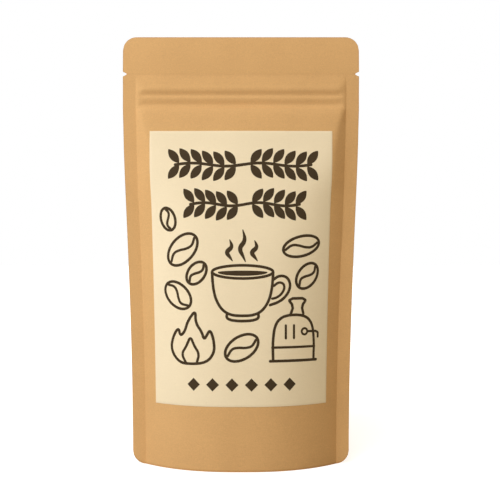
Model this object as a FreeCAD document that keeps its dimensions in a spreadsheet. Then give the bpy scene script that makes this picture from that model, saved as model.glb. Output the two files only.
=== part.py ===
import FreeCAD, Part
import math
import os
import Sketcher

# Filled stand-up coffee pouch: two film webs, bottom gusset, press-to-close zipper between two lips,
# tear strip, paper label, one-way valve and the coffee.  Millimetres, +Z up, front towards -Y,
# origin on the floor under the middle of the pouch.

Vector = FreeCAD.Vector

SIZES = {
    # film webs
    "pouch_width": 130.0,       # flat, over both side seals
    "pouch_height": 235.0,
    "film": 0.15,
    "side_seal": 7.0,
    "top_radius": 7.5,
    "base_radius": 7.5,
    "bow_angle": 44.4,          # half angle of the web's arc at the floor, in degrees
    "bow_top": 196.0,           # height where the webs meet
    "bow_power": 2.0,
    "bow_root": 0.8,
    "crown": 2.1,               # exponent of the cross-section at the floor
    "flank_slope": 0.75,        # least slope at which a web leaves its side seal
    # tear strip and lips
    "tear_height": 214.4,
    "tear_gap": 0.35,
    "notch_depth": 2.1,
    "notch_rise": 2.5,
    "hinge_height": 185.0,      # where the film bends when the mouth opens
    "hinge_gap": 0.05,
    "lip_side_gap": 0.1,
    "lip_clearance": 0.15,      # from the zipper to the lip
    "lip_edge_gap": 0.1,        # from the middle plane to the lip's top edge
    "lip_crown": 60.0,
    # zipper
    "zip_height": 201.2,
    "zip_length": 110.0,
    "flange_rise": 11.0,
    "flange_thick": 0.2,
    "flange_offset": 0.2,       # from the middle plane to a flange
    "zip_half": 0.95,           # from the middle plane to the back of a profile
    "rib_base": 1.8,
    "rib_thick": 0.7,
    "rib_reach": 0.55,          # past the middle plane
    "head_rise": 0.84,
    "head_depth": 0.25,
    "groove_width": 1.2,
    "groove_wall": 0.5,
    "groove_floor": 0.2,
    # label
    "label_width": 100.0,
    "label_bottom": 34.5,
    "label_rise": 148.2,
    "label_thick": 0.12,
    "adhesive": 0.15,
    # gusset
    "gusset_rise": 16.4,        # over the middle of the floor
    "gusset_droop": 1.385,      # how much rise the leaf gives up as it spreads
    "gusset_end": 1.4,
    "web_gap": 0.05,
    # coffee
    "coffee_height": 148.0,
    "coffee_foot": 6.0,
    "coffee_gap": 0.4,
    # valve
    "valve_height": 164.0,
    "valve_gap": 0.4,
    "plate_radius": 11.0,
    "plate_thick": 0.8,
    "cup_radius": 7.0,
    "cup_wall": 1.2,
    "cup_depth": 2.5,
    "cup_floor": 0.7,
    "port_radius": 0.6,
    "port_circle": 2.5,
    "port_count": 6,
    "disc_radius": 6.3,
    "disc_thick": 0.6,
    "cap_seat": 1.3,            # above the cup's floor
    "cap_thick": 0.7,
    "cap_clearance": 0.05,
    "vent_radius": 0.75,
    "vent_circle": 4.0,
    "vent_count": 4,
    "filter_radius": 6.5,
    "filter_thick": 0.25,
    "pinhole_radius": 0.6,
    "pinhole_circle": 3.2,
    "pinhole_count": 5,
}

SECTIONS = 9                    # cross-sections up a web
HALF_POINTS = 10                # points across half a cross-section
TOOL = 4.0                      # how far a cutting solid reaches past what it cuts

doc = FreeCAD.newDocument("CoffeePouch")
sheet = doc.addObject("Spreadsheet::Sheet", "Sizes")
for row, (alias, value) in enumerate(SIZES.items(), start=1):
    sheet.set(f"A{row}", alias)
    sheet.set(f"B{row}", repr(value))
    sheet.setAlias(f"B{row}", alias)
doc.recompute()

nodes = {}                      # label: the object that is written out


def size(alias):
    return float(getattr(sheet, alias))


def smooth(value, start, end):
    """0 at start, 1 at end, level at both."""
    share = min(1.0, max(0.0, (value - start) / (end - start)))
    return share * share * (3 - 2 * share)


def spread(start, end, count):
    return [start + (end - start) * k / count for k in range(count + 1)]


def across(half, count=HALF_POINTS):
    """x positions from -half to half, closer together towards both ends."""
    return [half * math.sin(math.pi / 2 * k / count) for k in range(-count, count + 1)]


# The shape of a filled web: it keeps its width as it bows, so its side seals come inwards.
def half_web():
    return size("pouch_width") / 2 - size("side_seal")


def bow(height):
    """Half angle of the web's arc, in radians."""
    share = min(1.0, height / size("bow_top"))
    return math.radians(size("bow_angle")) * (1 - share ** size("bow_power")) ** size("bow_root")


def half_chord(height):
    """From the middle to the inner edge of a side seal."""
    angle = bow(height)
    return half_web() * (math.sin(angle) / angle if angle else 1.0)


def bulge(height):
    angle = bow(height)
    return half_web() * ((1 - math.cos(angle)) / angle if angle else 0.0)


def lip_hold(height):
    """How far the zipper holds a lip from the middle plane."""
    low = size("zip_height") - size("flange_rise") / 2
    high = size("zip_height") + size("flange_rise") / 2
    held = size("zip_half") + size("lip_clearance")
    if height < high:
        return held * smooth(height, size("hinge_height"), low)
    return held + (size("lip_edge_gap") - held) * smooth(height, high, size("tear_height"))


def depth(x, height):
    """From the middle plane to the inner face of the film."""
    share = min(1.0, abs(x) / half_chord(height))
    held = lip_hold(height) * (1 - share ** size("lip_crown"))
    if not bulge(height):
        return held
    least = size("flank_slope") * half_chord(height) / bulge(height)
    crown = math.hypot(size("crown") ** 2, least ** 2) ** 0.5
    return bulge(height) * (1 - share ** crown) + held


def spline(points):
    curve = Part.BSplineCurve()
    curve.interpolate(points)
    return curve.toShape()


def sheet_wire(height, half, offset, thick, seal=0.0):
    """Section of a front sheet that lies offset outside the film's inner face, with its flat seals."""
    inner = [Vector(x, -depth(x, height) - offset, height) for x in across(half)]
    outer = [point - Vector(0, thick, 0) for point in reversed(inner)]
    if not seal:
        return Part.Wire([spline(inner), Part.makeLine(inner[-1], outer[0]),
                          spline(outer), Part.makeLine(outer[-1], inner[0])])
    right = [inner[-1], inner[-1] + Vector(seal, 0, 0), outer[0] + Vector(seal, 0, 0), outer[0]]
    left = [outer[-1], outer[-1] - Vector(seal, 0, 0), inner[0] - Vector(seal, 0, 0), inner[0]]
    flats = [Part.makeLine(a, b) for side in (right, left) for a, b in zip(side, side[1:])]
    return Part.Wire([spline(inner)] + flats[:3] + [spline(outer)] + flats[3:])


def web_heights():
    return spread(0, size("hinge_height"), SECTIONS)


def slab(low, high):
    """Box round everything between two heights."""
    wide = size("pouch_width") + 2 * TOOL
    return Part.makeBox(wide, wide, high - low, Vector(-wide / 2, -wide / 2, low))


def mirror_y(shape):
    return shape.mirror(Vector(0, 0, 0), Vector(0, 1, 0))


def seal_strip(side):
    """A side seal's flat strip of front film, from the hinge's height up to the tear line."""
    wires = []
    for height in (size("hinge_height"), (size("hinge_height") + size("bow_top")) / 2,
                   size("bow_top"), size("tear_height")):
        start = side * half_chord(height)
        end = start + side * size("side_seal")
        corners = [Vector(start, 0, height), Vector(end, 0, height),
                   Vector(end, -size("film"), height), Vector(start, -size("film"), height)]
        wires.append(Part.makePolygon(corners + corners[:1]))
    return Part.makeLoft(wires, True, True)


def corner_waste(side):
    """What is cut off a side seal's bottom corner to round it."""
    radius = size("base_radius")
    inner = side * (half_chord(0) + size("side_seal") - radius)
    outer = inner + side * (radius + TOOL)
    block = Part.makeBox(radius + TOOL, TOOL, radius + TOOL,
                         Vector(min(inner, outer), -TOOL / 2, -TOOL))
    return block.cut(Part.makeCylinder(radius, 2 * TOOL, Vector(inner, TOOL, radius), Vector(0, -1, 0)))


def notch(side):
    """Tear notch: a round tip with straight flanks out to the edge."""
    radius = size("notch_rise") / 2
    centre = side * (size("pouch_width") / 2 - size("notch_depth") + radius)
    tip = Part.makeCylinder(radius, 2 * TOOL, Vector(centre, TOOL, size("tear_height")), Vector(0, -1, 0))
    mouth = Part.makeBox(TOOL, 2 * TOOL, 2 * radius,
                         Vector(min(centre, centre + side * TOOL), -TOOL, size("tear_height") - radius))
    return tip.fuse(mouth)


def front_web():
    """Front film up to the hinge, and its side seals up to the tear line."""
    wires = [sheet_wire(height, half_chord(height), 0, size("film"), size("side_seal"))
             for height in web_heights()]
    web = Part.makeLoft(wires, True)
    for side in (-1, 1):
        web = web.fuse(seal_strip(side)).cut(corner_waste(side)).cut(notch(side))
    return web


def front_lip_film():
    """Front film between the side seals, from the hinge to the tear line."""
    low = size("zip_height") - size("flange_rise") / 2
    high = size("zip_height") + size("flange_rise") / 2
    heights = spread(size("hinge_height") + size("hinge_gap"), low, 4)
    heights += spread(low, high, 2)[1:] + spread(high, size("tear_height"), 3)[1:]
    wires = [sheet_wire(height, half_chord(height) - size("lip_side_gap"), 0, size("film"))
             for height in heights]
    return Part.makeLoft(wires, True)


def label_paper():
    wires = []
    for height in web_heights():
        radius = half_web() / bow(height)
        half = radius * math.sin(size("label_width") / 2 / radius)
        wires.append(sheet_wire(height, half, size("film") + size("adhesive"), size("label_thick")))
    strip = Part.makeLoft(wires, True)
    return strip.common(slab(size("label_bottom"), size("label_bottom") + size("label_rise")))


def arch(x, offset):
    """Points over the gusset at x, from front to back, offset outwards from its upper face."""
    half = depth(x, 0) - size("web_gap")
    middle = depth(0, 0) - size("web_gap")
    rise = math.sqrt(size("gusset_rise") ** 2 + size("gusset_droop") * (middle ** 2 - half ** 2))
    angles = spread(0, math.pi, 2 * HALF_POINTS - 8)
    return [Vector(x, -(half + offset) * math.cos(a), (rise + offset) * math.sin(a)) for a in angles]


def gusset_film():
    wires = []
    for x in across(half_chord(0) - size("gusset_end"), 7):
        upper = arch(x, 0)
        lower = arch(x, -size("film"))[::-1]
        wires.append(Part.Wire([spline(upper), Part.makeLine(upper[-1], lower[0]),
                                spline(lower), Part.makeLine(lower[-1], upper[0])]))
    return Part.makeLoft(wires, True)


def coffee_solid():
    """The room that the beans take, inside the webs and on the gusset."""
    gap = size("coffee_gap")
    wires = []
    for height in web_heights():
        half = half_chord(height) - 2 * gap
        edge = depth(half, height) - gap / 2
        front = [Vector(x, edge - depth(x, height), height) for x in across(half)]
        rear = [Vector(point.x, -point.y, height) for point in reversed(front)]
        wires.append(Part.Wire([spline(front), Part.makeLine(front[-1], rear[0]),
                                spline(rear), Part.makeLine(rear[-1], front[0])]))
    heap = Part.makeLoft(wires, True).common(slab(size("coffee_foot"), size("coffee_height")))
    hollows = []
    for x in across(half_chord(0), 7):
        reach = min(abs(x), half_chord(0) - size("gusset_end"))
        over = [Vector(x, point.y, point.z) for point in arch(reach, gap)]
        feet = [over[-1] - Vector(0, 0, TOOL), over[0] - Vector(0, 0, TOOL)]
        sides = [Part.makeLine(over[-1], feet[0]), Part.makeLine(feet[0], feet[1]),
                 Part.makeLine(feet[1], over[0])]
        hollows.append(Part.Wire([spline(over)] + sides))
    return heap.cut(Part.makeLoft(hollows, True))


def add_film(label, shape):
    """A freeform sheet or solid, shaped where it lies."""
    feature = doc.addObject("Part::Feature", label)
    feature.Shape = shape
    feature.Placement = FreeCAD.Placement()
    nodes[label] = feature


def origin_part(body, role):
    return next(part for part in body.Origin.OriginFeatures if part.Role == role)


def new_body(label):
    body = doc.addObject("PartDesign::Body", label)
    nodes[label] = body
    return body


def new_sketch(body, label, role):
    sketch = body.newObject("Sketcher::SketchObject", label)
    sketch.AttachmentSupport = [(origin_part(body, role), "")]
    sketch.MapMode = "FlatFace"
    return sketch


# Signed aliases in one phrase, such as "cup_radius -cap_clearance", give a number or an expression.
def signed(phrase):
    return [(-1, word[1:]) if word.startswith("-") else (1, word) for word in phrase.split()]


def total(phrase):
    return sum(sign * size(alias) for sign, alias in signed(phrase))


def formula(phrase):
    terms = [("-" if sign < 0 else "+") + f" Sizes.{alias}" for sign, alias in signed(phrase)]
    return " ".join(["0"] + terms)


def constrain(sketch, name, expression, rule):
    sketch.renameConstraint(sketch.addConstraint(rule), name)
    sketch.setExpression(f"Constraints.{name}", expression)


def draw_outline(sketch, corners):
    """Closed outline through corners given as two phrases each, every corner bound to the sheet."""
    points = [Vector(total(u), total(v), 0) for u, v in corners]
    count = len(points)
    for k in range(count):
        sketch.addGeometry(Part.LineSegment(points[k], points[(k + 1) % count]), False)
    for k in range(count):
        sketch.addConstraint(Sketcher.Constraint("Coincident", k, 2, (k + 1) % count, 1))
    for k, corner in enumerate(corners):
        for way, phrase in zip(("DistanceX", "DistanceY"), corner):
            rule = Sketcher.Constraint(way, -1, 1, k, 1, total(phrase))
            constrain(sketch, f"{way}_{k}", formula(phrase), rule)


def cut_through(body, label, sketch):
    pocket = body.newObject("PartDesign::Pocket", label)
    pocket.Profile = sketch
    pocket.Type = 1
    pocket.Midplane = True
    doc.recompute()
    return pocket


def tear_strip(label, rear):
    """Header ply above the tear line, with round top corners and the upper half of each notch."""
    body = new_body(label)
    outline = new_sketch(body, label + "_outline", "XZ_Plane")
    low, high = total("tear_height tear_gap"), size("pouch_height")
    half = size("pouch_width") / 2
    corners = [Vector(-half, low, 0), Vector(half, low, 0), Vector(half, high, 0), Vector(-half, high, 0)]
    for k in range(4):
        outline.addGeometry(Part.LineSegment(corners[k], corners[(k + 1) % 4]), False)
    for k in range(4):
        outline.addConstraint(Sketcher.Constraint("Coincident", k, 2, (k + 1) % 4, 1))
        outline.addConstraint(Sketcher.Constraint("Vertical" if k % 2 else "Horizontal", k))
    for name, expression, rule in (
            ("wide", "Sizes.pouch_width", ("DistanceX", 0, 1, 0, 2, 2 * half)),
            ("left", "Sizes.pouch_width / 2", ("DistanceX", 0, 1, -1, 1, half)),
            ("foot", formula("tear_height tear_gap"), ("DistanceY", -1, 1, 0, 1, low)),
            ("top", "Sizes.pouch_height", ("DistanceY", -1, 1, 2, 1, high))):
        constrain(outline, name, expression, Sketcher.Constraint(*rule))
    ply = body.newObject("PartDesign::Pad", label + "_ply")
    ply.Profile = outline
    ply.setExpression("Length", "Sizes.film")
    ply.Reversed = rear
    doc.recompute()
    across_film = [f"Edge{k}" for k, edge in enumerate(ply.Shape.Edges, start=1)
                   if edge.BoundBox.ZMin > high - size("top_radius") and edge.BoundBox.XLength < size("film")
                   and edge.BoundBox.ZLength < size("film")]
    rounds = body.newObject("PartDesign::Fillet", label + "_rounds")
    rounds.Base = (ply, across_film)
    rounds.setExpression("Radius", "Sizes.top_radius")
    doc.recompute()
    nicks = new_sketch(body, label + "_nicks", "XZ_Plane")
    radius = size("notch_rise") / 2
    reach = half - size("notch_depth") + radius
    for number, side in enumerate((-1, 1)):
        centre = Vector(side * reach, size("tear_height"), 0)
        index = nicks.addGeometry(Part.Circle(centre, Vector(0, 0, 1), radius), False)
        ends = (-1, 1, index, 3) if side > 0 else (index, 3, -1, 1)
        for name, expression, rule in (
                ("out", "Sizes.pouch_width / 2 - Sizes.notch_depth + Sizes.notch_rise / 2",
                 ("DistanceX", *ends, reach)),
                ("up", "Sizes.tear_height", ("DistanceY", -1, 1, index, 3, centre.y)),
                ("round", "Sizes.notch_rise / 2", ("Radius", index, radius))):
            constrain(nicks, f"{name}_{number}", expression, Sketcher.Constraint(*rule))
    cut_through(body, label + "_notches", nicks)


def block(name, wide, deep, tall, corner):
    """Part::Box with its sizes and lowest corner as expressions."""
    box = doc.addObject("Part::Box", name)
    for field, expression in zip(("Length", "Width", "Height"), (wide, deep, tall)):
        box.setExpression(field, expression)
    for axis, expression in zip("xyz", corner):
        box.setExpression(f".Placement.Base.{axis}", expression)
    return box


def join(label, blocks):
    union = doc.addObject("Part::MultiFuse", label)
    union.Shapes = blocks
    union.Refine = True
    nodes[label] = union


def zipper_rib_strip():
    """Front half of the zipper: flange, base, rib and the rib's thicker head."""
    long, left = "Sizes.zip_length", "-Sizes.zip_length / 2"
    flange_back = "-Sizes.flange_offset - Sizes.flange_thick"
    join("zipper_rib_strip", [
        block("rib_flange", long, "Sizes.flange_thick", "Sizes.flange_rise",
              (left, flange_back, "Sizes.zip_height - Sizes.flange_rise / 2")),
        block("rib_base", long, "Sizes.zip_half - Sizes.flange_offset", "Sizes.rib_base",
              (left, "-Sizes.zip_half", "Sizes.zip_height - Sizes.rib_base / 2")),
        block("rib", long, "Sizes.flange_offset + Sizes.rib_reach", "Sizes.rib_thick",
              (left, "-Sizes.flange_offset", "Sizes.zip_height - Sizes.rib_thick / 2")),
        block("rib_head", long, "Sizes.head_depth", "Sizes.head_rise",
              (left, "Sizes.rib_reach - Sizes.head_depth", "Sizes.zip_height - Sizes.head_rise / 2"))])


def zipper_groove_strip():
    """Rear half of the zipper: a flange each way from two walls, and the floor between them."""
    long, left = "Sizes.zip_length", "-Sizes.zip_length / 2"
    half = "Sizes.groove_width / 2"
    flange = "Sizes.flange_rise / 2 - Sizes.groove_width / 2 - Sizes.groove_wall"
    foot = f"Sizes.zip_height - {half} - Sizes.groove_wall"
    join("zipper_groove_strip", [
        block("groove_floor", long, "Sizes.groove_floor", "Sizes.groove_width + 2 * Sizes.groove_wall",
              (left, "Sizes.zip_half - Sizes.groove_floor", foot)),
        block("lower_wall", long, "Sizes.zip_half", "Sizes.groove_wall", (left, "0", foot)),
        block("upper_wall", long, "Sizes.zip_half", "Sizes.groove_wall",
              (left, "0", f"Sizes.zip_height + {half}")),
        block("lower_flange", long, "Sizes.flange_thick", flange,
              (left, "Sizes.flange_offset", "Sizes.zip_height - Sizes.flange_rise / 2")),
        block("upper_flange", long, "Sizes.flange_thick", flange,
              (left, "Sizes.flange_offset", f"Sizes.zip_height + {half} + Sizes.groove_wall"))])


def valve_placement():
    """The valve's own Z points out through the back film, square to it, from its plate's face."""
    height = size("valve_height")
    slope = math.degrees(math.atan((depth(0, height + 1) - depth(0, height - 1)) / 2))
    turn = FreeCAD.Rotation(Vector(1, 0, 0), -(90 + slope))
    outwards = turn.multVec(Vector(0, 0, 1))
    return FreeCAD.Placement(Vector(0, depth(0, height), height) - outwards * size("valve_gap"), turn)


def turned(label, corners):
    """Body turned about the valve's axis from (radius, height) phrases."""
    body = new_body(label)
    section = new_sketch(body, label + "_section", "XZ_Plane")
    draw_outline(section, corners)
    solid = body.newObject("PartDesign::Revolution", label + "_turned")
    solid.Profile = section
    solid.ReferenceAxis = (section, ["V_Axis"])
    solid.Angle = 360
    doc.recompute()
    body.Placement = valve_placement()
    return body


def drill_ring(body, name):
    """Ring of holes whose radius, circle and count are the sheet's NAME_radius and so on."""
    spot = new_sketch(body, name + "_spot", "XY_Plane")
    out, radius = size(name + "_circle"), size(name + "_radius")
    spot.addGeometry(Part.Circle(Vector(out, 0, 0), Vector(0, 0, 1), radius), False)
    spot.addConstraint(Sketcher.Constraint("PointOnObject", 0, 3, -1))
    constrain(spot, "out", f"Sizes.{name}_circle", Sketcher.Constraint("DistanceX", -1, 1, 0, 3, out))
    constrain(spot, "round", f"Sizes.{name}_radius", Sketcher.Constraint("Radius", 0, radius))
    hole = cut_through(body, name + "_hole", spot)
    ring = body.newObject("PartDesign::PolarPattern", name + "_ring")
    ring.Originals = [hole]
    ring.Axis = (origin_part(body, "Z_Axis"), [""])
    ring.Angle = 360
    ring.setExpression("Occurrences", f"Sizes.{name}_count")
    body.Tip = ring
    doc.recompute()


def valve():
    """Cup with ports in its floor, a rubber disc on the floor, a vented cap over it, a filter under it."""
    floor_top, floor_low = "-cup_depth", "-cup_depth -cup_floor"
    cup_outside = "cup_radius cup_wall"
    cup = turned("valve_body", [
        ("", floor_low), (cup_outside, floor_low), (cup_outside, "-plate_thick"),
        ("plate_radius", "-plate_thick"), ("plate_radius", ""), ("cup_radius", ""),
        ("cup_radius", floor_top), ("", floor_top)])
    drill_ring(cup, "port")
    turned("valve_disc", [
        ("", floor_top), ("disc_radius", floor_top),
        ("disc_radius", "-cup_depth disc_thick"), ("", "-cup_depth disc_thick")])
    cap_radius = "cup_radius -cap_clearance"
    cap = turned("valve_cap", [
        ("", "-cup_depth cap_seat"), (cap_radius, "-cup_depth cap_seat"),
        (cap_radius, "-cup_depth cap_seat cap_thick"), ("", "-cup_depth cap_seat cap_thick")])
    drill_ring(cap, "vent")
    turned("valve_filter", [
        ("", floor_low + " -filter_thick"), ("filter_radius", floor_low + " -filter_thick"),
        ("filter_radius", floor_low), ("", floor_low)])


def pinholes():
    """Needle holes through the back film over the valve."""
    place = valve_placement()
    count = int(size("pinhole_count"))
    holes = []
    for k in range(count):
        around = FreeCAD.Rotation(Vector(0, 0, 1), 360.0 * k / count)
        foot = around.multVec(Vector(size("pinhole_circle"), 0, -TOOL / 4))
        holes.append(Part.makeCylinder(size("pinhole_radius"), TOOL, place.multVec(foot),
                                       place.Rotation.multVec(Vector(0, 0, 1))))
    return holes


def films():
    web, lip = front_web(), front_lip_film()
    back = mirror_y(web)
    for hole in pinholes():
        back = back.cut(hole)
    add_film("front_panel", web)
    add_film("back_panel", back)
    add_film("front_lip", lip)
    add_film("back_lip", mirror_y(lip))
    add_film("bottom_gusset", gusset_film())
    add_film("label", label_paper())
    add_film("coffee_fill", coffee_solid())


def write_parts():
    doc.recompute()
    for thing in doc.Objects:
        if "Invalid" in thing.State or "Error" in thing.State:
            raise RuntimeError(f"{thing.Label} failed: {thing.State}")
    for label, thing in nodes.items():
        if thing.Shape.isNull() or not thing.Shape.isValid() or len(thing.Shape.Solids) != 1:
            raise RuntimeError(f"{label} is not one valid solid")
    os.makedirs("parts", exist_ok=True)
    for label, thing in nodes.items():
        thing.Shape.exportStep(f"parts/{label}.step")
        print(f"{label:22s} {thing.Shape.Volume:10.2f} mm3")


films()
tear_strip("front_tear_strip", False)
tear_strip("back_tear_strip", True)
zipper_rib_strip()
zipper_groove_strip()
valve()
write_parts()
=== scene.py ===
import math
import random

import bpy
import numpy as np
from mathutils import Matrix, Vector


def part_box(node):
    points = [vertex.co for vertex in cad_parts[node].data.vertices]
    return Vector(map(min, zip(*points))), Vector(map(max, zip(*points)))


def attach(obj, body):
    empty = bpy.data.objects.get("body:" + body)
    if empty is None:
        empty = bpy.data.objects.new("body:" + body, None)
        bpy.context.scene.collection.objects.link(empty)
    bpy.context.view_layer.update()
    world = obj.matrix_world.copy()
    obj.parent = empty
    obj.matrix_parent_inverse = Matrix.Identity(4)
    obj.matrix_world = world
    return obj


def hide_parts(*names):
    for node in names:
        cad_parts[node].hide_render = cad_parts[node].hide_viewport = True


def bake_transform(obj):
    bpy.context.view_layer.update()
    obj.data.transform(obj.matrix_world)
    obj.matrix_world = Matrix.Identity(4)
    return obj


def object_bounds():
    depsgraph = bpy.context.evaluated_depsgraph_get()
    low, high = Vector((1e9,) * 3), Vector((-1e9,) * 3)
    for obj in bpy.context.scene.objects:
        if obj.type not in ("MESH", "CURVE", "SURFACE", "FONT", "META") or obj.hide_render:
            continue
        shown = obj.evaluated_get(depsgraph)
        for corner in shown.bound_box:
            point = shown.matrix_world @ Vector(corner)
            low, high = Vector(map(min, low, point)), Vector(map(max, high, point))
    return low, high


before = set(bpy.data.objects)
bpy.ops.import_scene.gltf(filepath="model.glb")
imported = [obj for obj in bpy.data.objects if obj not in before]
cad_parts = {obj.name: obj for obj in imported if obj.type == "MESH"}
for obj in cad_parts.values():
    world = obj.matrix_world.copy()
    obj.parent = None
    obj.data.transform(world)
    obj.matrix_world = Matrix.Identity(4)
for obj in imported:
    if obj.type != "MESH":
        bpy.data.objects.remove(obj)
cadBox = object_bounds()
mm = 0.001
nearly = 1e-5                # metres, for a point that lies on an edge

view = {
    "distance": 0.600,       # from the plane of the side seals
    "height": 0.1305,
    "lens": 78.45,
    "sideShift": 0.0181,
    "upShift": -0.0470,
}
bpy.ops.object.camera_add(location=(0, -view["distance"], view["height"]), rotation=(math.pi / 2, 0, 0))
camera = bpy.context.active_object
camera.name = "camera"
camera.data.lens = view["lens"]
camera.data.sensor_width = 36
camera.data.shift_x = view["sideShift"]
camera.data.shift_y = view["upShift"]
camera.data.clip_start = 0.01
bpy.context.scene.camera = camera

halfWidth = cadBox[1].x
topHeight = cadBox[1].z
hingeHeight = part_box("front_panel")[1].z - (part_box("front_lip")[1].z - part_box("front_lip")[0].z)
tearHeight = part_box("front_panel")[1].z
film = -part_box("front_tear_strip")[0].y
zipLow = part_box("zipper_rib_strip")[0].z
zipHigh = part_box("zipper_rib_strip")[1].z
zipMiddle = (zipLow + zipHigh) / 2
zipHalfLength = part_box("zipper_rib_strip")[1].x
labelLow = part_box("label")[0].z
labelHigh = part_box("label")[1].z
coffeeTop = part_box("coffee_fill")[1].z

web = {
    "sideSeal": 7 * mm,
    "bowAngle": math.radians(44.4),  # half angle of the arc at the floor
    "bowTop": 0.196,         # above this height the film is flat
    "bowPower": 2.0,
    "bowRoot": 0.8,
    "shoulder": 0.12,        # fuller just under the zipper
    "shoulderLow": 172 * mm,
    "shoulderHigh": 190 * mm,
    "crown": 2.3,
    "flankSlope": 0.75,
    "facetSlope": 0.80,      # high up the flank is a flat fold with a bend along it
    "facetWidth": 8.8 * mm,
    "topCrown": 0.32,
    "foldRadius": 1.1 * mm,
    "foldLow": 0.140,        # the fold comes in between these heights
    "foldHigh": 0.176,
    "cornerRadius": 7.5 * mm,
    "notchDepth": 2.1 * mm,
    "notchRise": 1.25 * mm,
}
halfWeb = halfWidth - web["sideSeal"]


def smooth(value, start, end):
    share = min(1.0, max(0.0, (value - start) / (end - start)))
    return share * share * (3 - 2 * share)


def bowAngle(z):
    root = web["bowRoot"] - web["shoulder"] * smooth(z, web["shoulderLow"], web["shoulderHigh"])
    share = min(1.0, max(0.0, z) / web["bowTop"])
    return web["bowAngle"] * (1 - share ** web["bowPower"]) ** root


def halfChord(z):
    angle = bowAngle(z)
    return halfWeb * (math.sin(angle) / angle if angle > 1e-6 else 1.0)


def bulge(z):
    angle = bowAngle(z)
    return halfWeb * ((1 - math.cos(angle)) / angle if angle > 1e-6 else 0.0)


lip = {
    "held": 1.1 * mm,        # how far the zipper holds a lip from the middle plane
    "edgeGap": 0.05 * mm,
    "crown": 30.0,
    # height and depth of each dip
    "dips": ((zipMiddle + 1.4 * mm, 0.46 * mm), (zipMiddle - 3.7 * mm, 0.58 * mm)),
    "dipAbove": 3.3 * mm,    # long slope over a dip
    "dipBelow": 1.7 * mm,    # short slope under it
    "brow": 0.40 * mm,       # the film stands out a little over the upper dip
    "browReach": 3.2 * mm,
    "fadeIn": 2 * mm,        # the dips fade out about the zipper's ends
    "fadeOut": 2.5 * mm,
}


def lipHold(z):
    if z < zipHigh:
        return lip["held"] * smooth(z, hingeHeight, zipLow)
    return lip["held"] + (lip["edgeGap"] - lip["held"]) * smooth(z, zipHigh, tearHeight)


# how far the film is drawn in beside the zipper's profile
def ridges(x, z):
    fade = 1 - smooth(abs(x), zipHalfLength - lip["fadeIn"], zipHalfLength + lip["fadeOut"])
    total = 0.0
    for deepest, dip in lip["dips"]:
        away = z - deepest
        reach = lip["dipAbove"] if away > 0 else lip["dipBelow"]
        if abs(away) < reach:
            total += dip * 0.5 * (1 + math.cos(math.pi * away / reach))
    over = (z - lip["dips"][0][0] - lip["dipAbove"]) / lip["browReach"]
    if abs(over) < 1:
        total -= lip["brow"] * 0.5 * (1 + math.cos(math.pi * over))
    return fade * total


# from the middle plane to the film's inner face
def webDepth(x, z):
    share = min(1.0, abs(x) / halfChord(z))
    held = lipHold(z) * (1 - share ** lip["crown"]) - ridges(x, z)
    if bulge(z) < 1e-6:
        return max(0.0, held)
    least = web["flankSlope"] * halfChord(z) / bulge(z)
    crown = (web["crown"] ** 4 + least ** 4) ** 0.25
    rounded = bulge(z) * (1 - share ** crown)
    steep = max(web["facetSlope"], bulge(z) / web["facetWidth"])
    flank = steep * halfChord(z) * (1 - share)
    flat = bulge(z) * (1 - web["topCrown"] * share * share)
    gap = flank - flat
    folded = (flank + flat - math.sqrt(gap * gap + web["foldRadius"] ** 2) + web["foldRadius"]
              * (1 - smooth(share, 0, 0.6))) / 2
    folded = max(0.0, folded)
    how = smooth(z, web["foldLow"], web["foldHigh"])
    return rounded + (folded - rounded) * how + held


seal = {
    "turn": 0.55 * mm,       # how far the right seal's edge lies back
    "leftTurn": 0.15 * mm,
    "wave": 0.12 * mm,
    "headerLean": 4.2,       # the header curls back above the tear line, per metre
}


# a side seal isn't quite flat: both plies wander together from the middle plane
def sealShift(x, z):
    reach = (abs(x) - halfChord(z)) / web["sideSeal"]
    if reach <= 0:
        return 0.0
    fade = smooth(z, 4 * mm, 30 * mm) * (1 - smooth(z, tearHeight - 12 * mm, tearHeight - 2 * mm))
    wave = math.sin(z / 0.0185 + (0 if x > 0 else 2)) + 0.6 * math.sin(z / 0.0067 + 1)
    lean = seal["turn"] if x > 0 else seal["leftTurn"]
    return fade * reach * (lean + seal["wave"] * wave)


def headerLean(z):
    return seal["headerLean"] * max(0.0, z - tearHeight) ** 2


def deselectAll():
    bpy.ops.object.select_all(action="DESELECT")


def selectOnly(piece):
    deselectAll()
    bpy.context.view_layer.objects.active = piece
    piece.select_set(True)


def steps(start, end, count):
    return [start + (end - start) * k / count for k in range(count + 1)]


# grid whose points are put at place(column, row); it faces the way columns turn into rows
def addGrid(name, columns, rows, place):
    deselectAll()
    bpy.ops.mesh.primitive_grid_add(x_subdivisions=len(columns) - 1, y_subdivisions=len(rows) - 1, size=2)
    piece = bpy.context.active_object
    piece.name = name
    piece.data.name = name
    for vertex in piece.data.vertices:
        column = columns[round((vertex.co.x + 1) / 2 * (len(columns) - 1))]
        row = rows[round((vertex.co.y + 1) / 2 * (len(rows) - 1))]
        vertex.co = place(column, row)
    piece.data.update()
    return piece


# adds a modifier, sets it and applies it
def modify(piece, kind, **settings):
    selectOnly(piece)
    modifier = piece.modifiers.new(kind.title(), kind)
    for field, value in settings.items():
        setattr(modifier, field, value)
    bpy.ops.object.modifier_apply(modifier=modifier.name)


def shadeSmooth(piece, degrees=35):
    selectOnly(piece)
    bpy.ops.object.shade_smooth_by_angle(angle=math.radians(degrees))


def thicken(piece, thickness, liningSlot=0):
    modify(piece, "SOLIDIFY", thickness=thickness, offset=-1.0, use_even_offset=True,
           material_offset=liningSlot)
    shadeSmooth(piece)


def joinPieces(pieces, name):
    deselectAll()
    for piece in pieces:
        piece.select_set(True)
    bpy.context.view_layer.objects.active = pieces[0]
    if len(pieces) > 1:
        bpy.ops.object.join()
    pieces[0].name = name
    pieces[0].data.name = name
    return pieces[0]


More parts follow.
